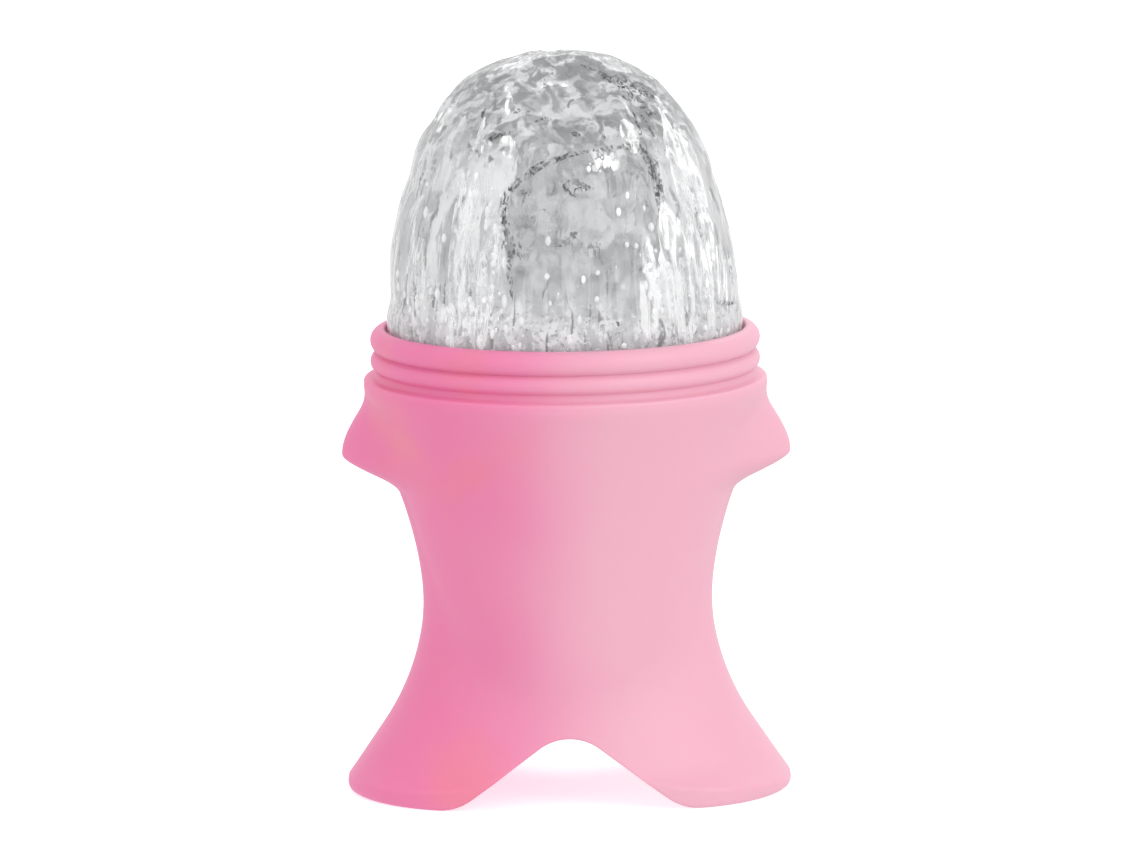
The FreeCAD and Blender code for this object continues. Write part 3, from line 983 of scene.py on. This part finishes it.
# Painted highlight: white sheets under the skin where the bright bands of reflected light run.
PAINTED_HIGHLIGHT_SHEETS = (
    Blade(((-15.9, 102.8), (-16.8, 92.0), (-17.3, 81.5), (-17.6, 75.0)), 2.6, 0.9),
    Blade(((-13.7, 103.0), (-15.0, 95.2), (-15.6, 82.0)), 1.9, 0.9),
    Blade(((-9.9, 95.0), (-12.8, 87.0), (-13.8, 81.0), (-13.4, 75.0)), 4.4, 0.9),
    Blade(((16.0, 111.6), (18.5, 104.5), (21.0, 96.9), (22.6, 85.5), (23.2, 77.0)), 4.2, 0.9),
    Blade(((15.7, 98.0), (17.3, 91.2), (18.5, 81.5), (19.2, 74.0)), 4.8, 0.9),
    Blade(((12.8, 93.0), (13.6, 83.0), (13.2, 77.0)), 3.4, 0.9),
    Blade(((9.4, 111.0), (10.6, 108.4), (11.4, 105.8)), 2.4, 0.9),
    Blade(((-5.0, 115.6), (-2.4, 116.6), (1.0, 116.2)), 0.7, 0.9),
    Blade(((-9.0, 116.0), (-8.4, 114.2), (-8.8, 111.8)), 1.1, 0.9),
    Blade(((-12.4, 108.0), (-11.4, 105.6)), 2.2, 0.9),
    Blade(((-9.0, 108.8), (-8.6, 105.4)), 2.4, 0.9),
    Blade(((-22.5, 92.0), (-23.6, 80.0)), 2.6, 0.9),
    Blade(((24.6, 90.0), (25.6, 79.0)), 1.8, 0.9),
)


@dataclass(frozen=True)
class Bubbles:
    """A cluster of bubbles: its middle from the front, its spread, its count, and if it goes all round."""

    middle: Station
    spread: Station
    count: int
    all_round: bool = False


BUBBLES = (
    Bubbles((6.7, 104.5), (1.1, 0.6), 26),
    Bubbles((-14.0, 79.5), (3.4, 2.6), 90),
    Bubbles((-10.5, 91.0), (1.4, 4.5), 30),
    Bubbles((13.6, 86.0), (1.0, 4.5), 40),
    Bubbles((-22.0, 80.0), (2.5, 2.5), 30),
    Bubbles((0.0, 84.0), (9.0, 8.0), 260, True),
)


@dataclass
class Ice:
    """The block of ice: its wet skin, the frost streaks under it, its cloudy heart, cracks, painted dark
    edges, white sheets of painted highlight and bubbles.
    """

    # the turned outline
    floor_height: float = 15.9
    foot_radius: float = 15.3
    foot_round: float = 3.0
    heel_spread: float = 0.6
    side_bow: float = -1.3
    throat: Station = (28.2, 66.0)
    mouth: Station = (28.7, 75.7)
    flank_bow: float = 1.35
    haunch: Station = (25.3, 100.2)
    haunch_bow: float = 1.62
    shoulder: Station = (15.7, 116.9)
    crown_height: float = 121.9
    crown_bow: float = 0.85
    # the melted surface
    melt_start: float = 77.0
    melt_fade: float = 4.0
    crown_span: Station = (96.0, 112.0)
    dome_middle: float = 88.0
    flute_reach: float = 6.0
    flute_length: float = 26.0
    flute_depth: float = 0.45
    lump_size: float = 6.0
    lump_depth: float = 1.7
    dent_size: float = 3.4
    dent_depth: float = 0.45
    flat_blend: float = 0.5
    lean: float = -0.4
    lean_fade: float = 14.0
    # the layers under the skin
    frost_inset: float = 1.4
    heart_offset: float = 2.8
    heart_dome: float = 94.0
    heart_lump_size: float = 6.0
    heart_lump_depth: float = 1.1
    steps: int = 288
    seed: int = 7
    flank_reaches: Array = field(init=False, repr=False)
    flank_heights: Array = field(init=False, repr=False)

    def __post_init__(self) -> None:
        """Keep the outline above the holder's shoulder, to place things under the skin."""
        above = [station for station in self.outline() if station[1] >= self.throat[1]]
        self.flank_reaches, self.flank_heights = np.array(above).T

    def outline(self) -> list[Station]:
        """List the stations of the block's outline from the middle of its foot up to its crown."""
        corner = (self.foot_radius - self.foot_round + self.heel_spread, self.floor_height + self.foot_round)
        foot = bow((0.0, self.floor_height), (corner[0], self.floor_height), 0.0, 10)
        heel = arc(corner, self.foot_round, -90, 0, 6)
        side = bow(heel[-1], self.throat, self.side_bow, 24)
        neck = bow(self.throat, self.mouth, 0.0, 8)
        flank = bow(self.mouth, self.haunch, self.flank_bow, 46)
        haunch = bow(self.haunch, self.shoulder, self.haunch_bow, 34)
        crown = bow(self.shoulder, (0.0, self.crown_height), self.crown_bow, 34)
        return without_repeats([*foot, *heel, *side, *neck, *flank, *haunch, *crown])

    def turned(self, name: str, outline: list[Station], melt: Callable[[Array], Array]) -> bpy.types.Object:
        """Make a closed turned piece and let its surface melt.

        Args:
            name: The piece's name.
            outline: Its stations from the foot to the crown.
            melt: Takes the places in millimetres and gives the melted ones.

        Returns:
            The piece.
        """
        stations = np.array(outline)

        def surface(rows: Array, angles: Array) -> Array:
            """Turn the stations round the axis, and melt them."""
            reach, height = stations[rows, 0], stations[rows, 1]
            return melt(Holder.polar(reach, angles, height))

        return to_object(rolled_grid(len(outline), self.steps, surface), name)

    def melted(self, places: Array, inset: float = 0.0) -> Array:
        """Melt flutes down the flanks and lumps and flats into the crown, and let the dome lean a little.

        Args:
            places: Places on the turned outline.
            inset: How far under the skin they lie.

        Returns:
            The melted places.
        """
        moved = places.copy()
        start = ease(self.melt_start, self.melt_start + self.melt_fade, places[:, 2])
        top = ease(*self.crown_span, places[:, 2])
        for index in np.nonzero(start > 0)[0]:
            x, y, z = places[index]
            angle = math.atan2(y, x)
            across, along = math.cos(angle) * self.flute_reach, math.sin(angle) * self.flute_reach
            ring = Vector((across, along, z / self.flute_length))
            flute = 0.5 + 0.5 * noise.noise(ring)
            fine = 0.5 + 0.5 * noise.noise(ring * 2.3 + Vector((5, 5, 5)))
            lump = 0.5 + 0.5 * noise.noise(Vector((x, y, z)) / self.lump_size)
            dent = 0.5 + 0.5 * noise.noise(Vector((x, y, z)) / self.dent_size + Vector((3, 1, 2)))
            take = (self.flute_depth * (flute + 0.6 * fine)) * (1 - 0.6 * top[index])
            take += (self.lump_depth * lump + self.dent_depth * dent) * (0.35 + 0.65 * top[index])
            outwards = Vector((x, y, max(z - self.dome_middle, 0) * 1.2)).normalized()
            moved[index] -= np.array(outwards) * take * start[index]
        for facing, distance in self.flats():
            over = moved @ np.array(facing) - (distance - inset)
            moved -= np.outer(smooth_max(over, np.zeros_like(over), self.flat_blend), facing)
        moved[:, 0] += self.lean * ease(self.melt_start, self.melt_start + self.lean_fade, places[:, 2])
        return moved

    @staticmethod
    def flats() -> list[tuple[Colour, float]]:
        """List the melted flats as the way each faces and its distance from the origin in millimetres."""
        faces = [
            ((-0.42, -0.50, 0.76), (-9.8, -9.2, 115.2)),
            ((0.55, -0.42, 0.72), (13.3, -8.1, 112.8)),
            ((0.05, -0.62, 0.78), (1.0, -11.5, 114.6)),
            ((-0.75, -0.30, 0.59), (-18.2, -6.4, 110.4)),
            ((0.10, 0.58, 0.81), (2.0, 10.0, 115.6)),
            ((-0.45, 0.60, 0.66), (-9.5, 12.5, 112.0)),
            ((0.70, 0.38, 0.60), (16.2, 8.6, 109.6)),
        ]
        listed = []
        for facing, point in faces:
            unit = Vector(facing).normalized()
            listed.append((tuple(unit), unit.dot(Vector(point))))
        return listed

    def skin(self) -> bpy.types.Object:
        """Make the wet outer skin."""
        piece = self.turned("ice_skin", self.outline(), self.melted)
        piece.data.materials.append(ClearIceFinish().build())
        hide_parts("ice_block")
        return settle(piece, Body.ICE, Slot.ICE)

    def frost(self) -> bpy.types.Object:
        """Make the frost streaks a little way under the skin."""
        narrower = 1 - self.frost_inset / self.mouth[0]
        shorter = 1 - 2 * self.frost_inset / self.crown_height
        low = self.floor_height
        outline = [(reach * narrower, low + 1 + (height - low) * shorter) for reach, height in self.outline()]
        piece = self.turned("ice_frost", outline, lambda places: self.melted(places, self.frost_inset))
        piece.data.materials.append(FrostFinish().build())
        return settle(piece, Body.ICE, Slot.ICE)

    def core(self) -> bpy.types.Object:
        """Make the cloudy heart, a lumpy bell that stands a little off the axis."""
        foot = bow((0.0, 19.0), (9.0, 19.0), 0.0, 6)
        lower = bow((11.0, 21.0), (20.0, 66.0), -0.8, 20)
        neck = bow((20.0, 66.0), (11.2, 76.0), -1.2, 10)
        side = bow((10.6, 78.0), (8.6, 100.0), 0.4, 30)
        top = arc((4.0, 100.0), 4.6, 0, 90, 14)
        outline = without_repeats([*foot, *lower, *neck, *side, *top, *bow(top[-1], (0.0, 105.0), 0.05, 6)])

        def melt(places: Array) -> Array:
            """Push the bell off the axis and make it lumpy."""
            moved = places.copy()
            above = ease(70, 82, places[:, 2])
            moved[:, 0] += self.heart_offset * above
            for index, (x, y, z) in enumerate(places):
                away = Vector((x, y, max(z - self.heart_dome, 0.0)))
                push = noise.fractal(Vector((x, y, z)) / self.heart_lump_size, 0.9, 2.0, 3)
                moved[index] += np.array(away.normalized()) * push * self.heart_lump_depth
            return moved

        piece = self.turned("ice_core", outline, melt)
        piece.data.materials.append(CloudyIceFinish().build())
        return settle(piece, Body.ICE, Slot.ICE)

    def reach_at(self, height: float) -> float:
        """Give the outline's radius at a height above the holder's shoulder."""
        return float(np.interp(height, self.flank_heights, self.flank_reaches))

    def sheets(
        self, name: str, blades: Iterable[Blade], scattered: int, seed: int, finish: SheetFinish
    ) -> bpy.types.Object:
        """Make one piece of many thin sheets: the ones listed and more scattered all round.

        Args:
            name: The piece's name.
            blades: The sheets that have a place of their own.
            scattered: How many more there are.
            seed: Where the random draws start.
            finish: Their finish.

        Returns:
            The piece.
        """
        mesh = bmesh.new()
        for blade in blades:
            self.add_blade(mesh, blade)
        rand = np.random.default_rng(seed)
        for _ in range(scattered):
            turn, height = rand.uniform(0.2, 1.8) * math.pi, rand.uniform(79, 113)
            length, bend = rand.uniform(2.0, 12.0), rand.uniform(-1.4, 1.4)
            ends = (max(height - length / 2, 75.0), min(height + length / 2, 115.0))
            path = ((0.0, ends[0]), (bend, height), (bend * 0.4, ends[1]))
            width, inset = rand.uniform(0.4, 1.5), rand.uniform(0.9, 5.0)
            self.add_blade(mesh, Blade(path, width * finish.spread, inset), turn)
        bmesh.ops.recalc_face_normals(mesh, faces=mesh.faces)
        piece = to_object(mesh, name, crease=40)
        piece.data.materials.append(finish.build())
        return settle(piece, Body.ICE, Slot.ICE)

    def add_blade(self, mesh: bmesh.types.BMesh, blade: Blade, turn: float = 0.0) -> None:
        """Add one sheet: a ribbon along a path that tapers to both ends, given a thickness.

        Args:
            mesh: Where to add it.
            blade: Its path in the X and Z plane, its width, and how far under the skin it lies.
            turn: How far round the axis to turn it.
        """
        path = np.array(blade.path)
        steps = np.linspace(0, len(path) - 1, 6 * (len(path) - 1) + 1)
        line = np.stack([np.interp(steps, range(len(path)), path[:, axis]) for axis in (0, 1)], axis=1)
        turned = Matrix.Rotation(turn, 3, "Z")
        rungs = []
        for index, (x, z) in enumerate(line):
            swell = math.sin(math.pi * (index + 0.5) / len(line)) ** 0.6
            half = blade.width * swell * (1 + 0.35 * noise.noise(Vector((x, z, turn)) / 1.7)) / 2
            run = line[min(index + 1, len(line) - 1)] - line[max(index - 1, 0)]
            across = Vector((-run[1], 0, run[0])).normalized() * half
            rung = []
            for side in (-1, 1):
                place = Vector((x, 0, z)) + across * side
                reach = self.reach_at(place.z) - blade.inset
                place.y = -math.sqrt(max(reach**2 - place.x**2, 1.0))
                rung.append(mesh.verts.new(turned @ place * MM))
            rungs.append(rung)
        faces = [mesh.faces.new((a[0], b[0], b[1], a[1])) for a, b in zip(rungs, rungs[1:])]
        bmesh.ops.solidify(mesh, geom=faces, thickness=0.12 * MM)

    def bubbles(self) -> bpy.types.Object:
        """Scatter bubbles round the heart, thicker low on the left and near the crown."""
        rand = np.random.default_rng(self.seed + 1)
        ball = bmesh.new()
        bmesh.ops.create_uvsphere(ball, u_segments=8, v_segments=6, radius=1.0)
        one = bpy.data.meshes.new("bubble")
        ball.to_mesh(one)
        ball.free()
        mesh = bmesh.new()
        for cluster in BUBBLES:
            draws = rand.normal((cluster.middle[0], cluster.middle[1]), cluster.spread, (cluster.count, 2))
            for x, z in draws:
                z = min(max(z, 76.0), 112.0)
                reach = self.reach_at(z) - rand.uniform(0.9, 3.0)
                if abs(x) > reach - 1:
                    continue
                around = 2 * math.pi * rand.random() if cluster.all_round else 0.0
                place = Matrix.Rotation(around, 3, "Z") @ Vector((x, -math.sqrt(reach**2 - x**2), z))
                size = MM * rand.uniform(0.22, 0.66) ** 1.3
                stretch = Matrix.Diagonal((size, size, size * rand.uniform(1.0, 2.2))).to_4x4()
                there = Matrix.Translation(place * MM) @ stretch
                one.transform(there)
                mesh.from_mesh(one)
                one.transform(there.inverted())
        piece = to_object(mesh, "ice_bubbles")
        piece.data.materials.append(BubbleFinish().build())
        return settle(piece, Body.ICE, Slot.ICE)

    def build(self) -> list[bpy.types.Object]:
        """Make all the ice."""
        # The dark sheets are cracks and painted dark edges round the cloudy heart.
        cracks = self.sheets("ice_cracks_and_painted_edges", CRACKS_AND_PAINTED_EDGES, 30, self.seed, CRACK_AND_PAINTED_EDGE_FINISH)
        # The white sheets paint the bright highlight bands.
        air = self.sheets("ice_painted_highlight_sheets", PAINTED_HIGHLIGHT_SHEETS, 40, self.seed + 2, PAINTED_HIGHLIGHT_FINISH)
        return [self.skin(), self.frost(), self.core(), cracks, air, self.bubbles()]


# ---------------------------------------------------------------------------------------------------------
# The studio


@dataclass(frozen=True)
class SoftLight:
    """One soft rectangular light that looks at the object's middle."""

    name: str
    place: tuple[float, float, float]
    size: tuple[float, float]
    power: float


@dataclass
class Studio:
    """The pale floor, the soft lights and the camera."""

    lens: float = 214.3
    camera_place: tuple[float, float, float] = (0.0, -1.085, 0.233)
    camera_target: tuple[float, float, float] = (0.00065, 0.0, 0.0589)
    camera_roll: float = -0.6
    world_strength: float = 0.95
    lights: tuple[SoftLight, ...] = (
        SoftLight("key_light", (0.75, -0.60, 0.55), (0.6, 0.7), 3.4),
        SoftLight("fill_light", (-0.7, -0.75, 0.35), (0.5, 0.7), 1.0),
        SoftLight("back_light", (0.1, 0.9, 0.8), (0.8, 0.4), 3.0),
    )

    def build(self) -> None:
        """Set up everything round the object."""
        self.floor()
        self.world()
        for light in self.lights:
            self.light(light)
        self.camera()

    def floor(self) -> None:
        """Lay the floor."""
        mesh = bmesh.new()
        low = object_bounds()[0].z
        level = Matrix.Translation((0, 0, low))
        bmesh.ops.create_grid(mesh, x_segments=1, y_segments=1, size=4.0, matrix=level)
        floor = to_object(mesh, "studio_floor")
        floor.data.materials.append(FloorFinish().build())
        floor.visible_diffuse = False
        floor.visible_glossy = False
        floor.visible_transmission = False
        floor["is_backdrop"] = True

    def world(self) -> None:
        """Fill the surroundings with even white light."""
        world = bpy.data.worlds.new("studio_air")
        world.use_nodes = True
        background = world.node_tree.nodes["Background"]
        background.inputs["Color"].default_value = (1.0, 1.0, 1.0, 1.0)
        background.inputs["Strength"].default_value = self.world_strength
        bpy.context.scene.world = world
        bpy.context.scene.view_settings.view_transform = "Standard"

    def light(self, light: SoftLight) -> None:
        """Hang one light."""
        data = bpy.data.lights.new(light.name, "AREA")
        data.shape = "RECTANGLE"
        data.size, data.size_y = light.size
        data.energy = light.power
        lamp = bpy.data.objects.new(light.name, data)
        lamp.location = light.place
        aim = Vector(self.camera_target) - Vector(light.place)
        lamp.rotation_euler = aim.to_track_quat("-Z", "Y").to_euler()
        bpy.context.scene.collection.objects.link(lamp)

    def camera(self) -> None:
        """Place the camera."""
        data = bpy.data.cameras.new("camera")
        data.lens = self.lens
        data.clip_end = 20.0
        camera = bpy.data.objects.new("camera", data)
        aim = Vector(self.camera_target) - Vector(self.camera_place)
        level = aim.to_track_quat("-Z", "Y").to_matrix().to_4x4()
        roll = Matrix.Rotation(math.radians(self.camera_roll), 4, "Z")
        camera.matrix_world = Matrix.Translation(self.camera_place) @ level @ roll
        bpy.context.scene.collection.objects.link(camera)
        bpy.context.scene.camera = camera


def write_sizes() -> None:
    """Gather the CAD model's box and the visual model's box into a dictionary, which is not kept."""
    boxes = {"cad": CAD_BOUNDS, "visual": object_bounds()}
    {name: [list(corner) for corner in box] for name, box in boxes.items()}


def main() -> None:
    """Build the object and its surroundings."""
    logging.basicConfig(level=logging.INFO, format="%(name)s: %(message)s")
    Holder().build()
    Ice().build()
    Studio().build()
    write_sizes()


if __name__ == "__main__":
    main()
